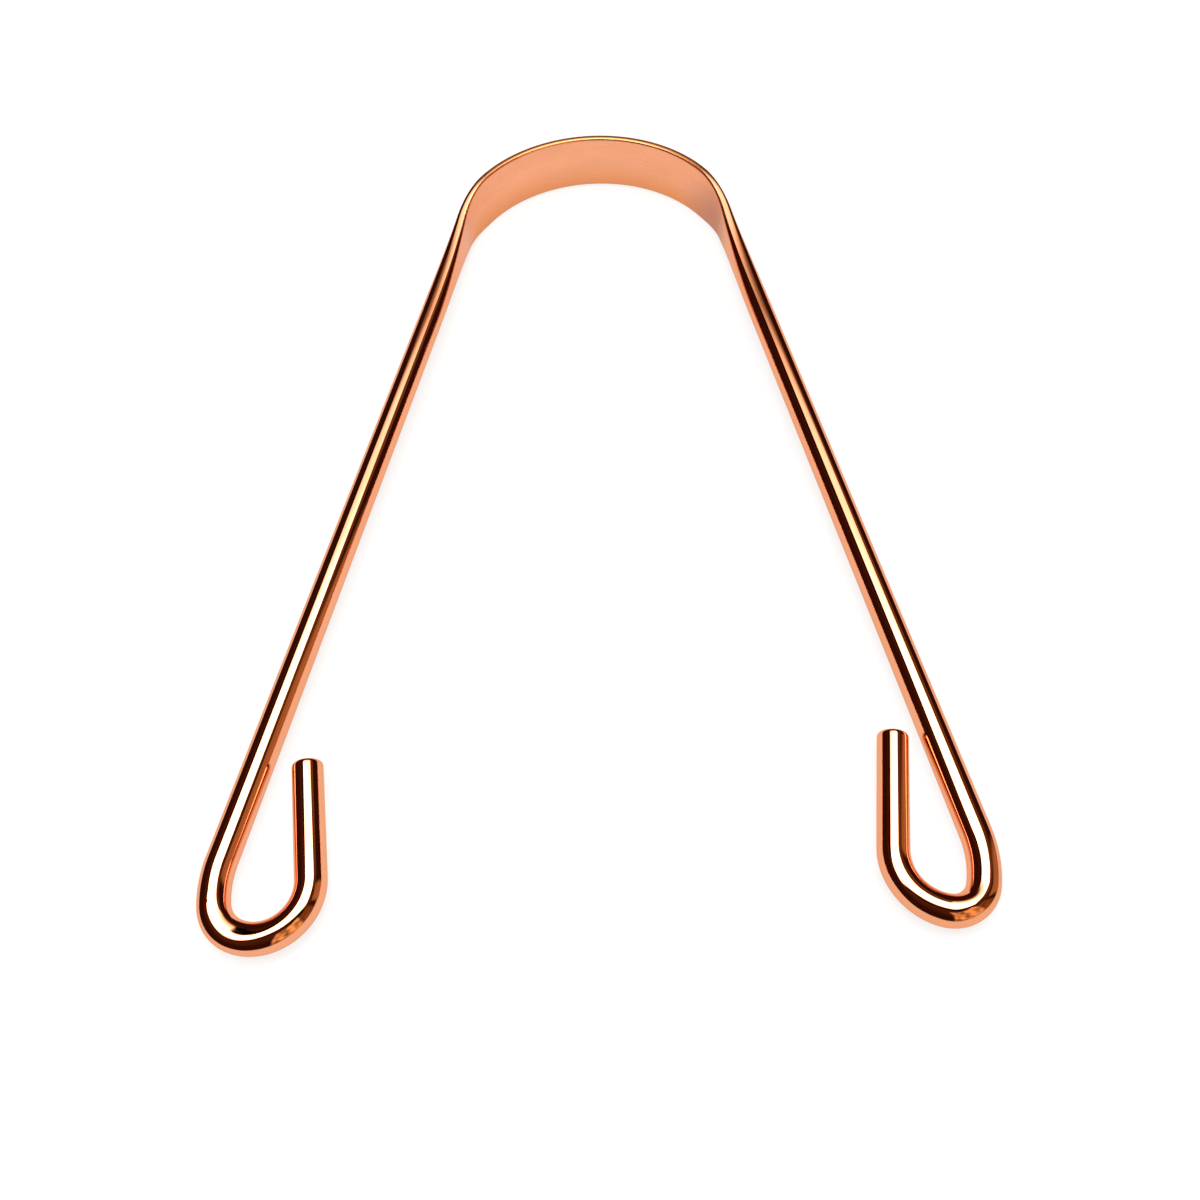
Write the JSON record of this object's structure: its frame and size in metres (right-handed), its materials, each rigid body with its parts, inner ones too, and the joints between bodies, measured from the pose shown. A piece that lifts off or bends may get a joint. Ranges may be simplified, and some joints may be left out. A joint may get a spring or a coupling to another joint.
{
  "type": "tongue scraper",
  "caption": "U-shaped hand scraper bent from polished copper rod: a rolled flat crown as the blade, splayed round legs and open thumb hooks.",
  "frame": {"origin": "below the middle of the whole outline, at the height of the blade's lower edge, which is the lowest point of the part lying flat", "axes": "+X to the right leg, +Y along the tool from the hooks to the crown, +Z square to the plane in which the rod is bent"},
  "size_m": [0.0966, 0.1466, 0.0098],
  "materials": {
    "satin_copper": "rolled copper, satin on the band's inner face, polished on its edges",
    "polished_copper": "drawn copper rod, buffed to a mirror polish"
  },
  "bodies": {
    "root": {"blade": "satin_copper", "left_neck": "polished_copper", "right_neck": "polished_copper", "left_leg": "polished_copper", "right_leg": "polished_copper", "left_foot_bend": "polished_copper", "left_heel_bend": "polished_copper", "left_return_bend": "polished_copper", "left_free_end": "polished_copper", "right_foot_bend": "polished_copper", "right_heel_bend": "polished_copper", "right_return_bend": "polished_copper", "right_free_end": "polished_copper"}
  },
  "joints": []
}
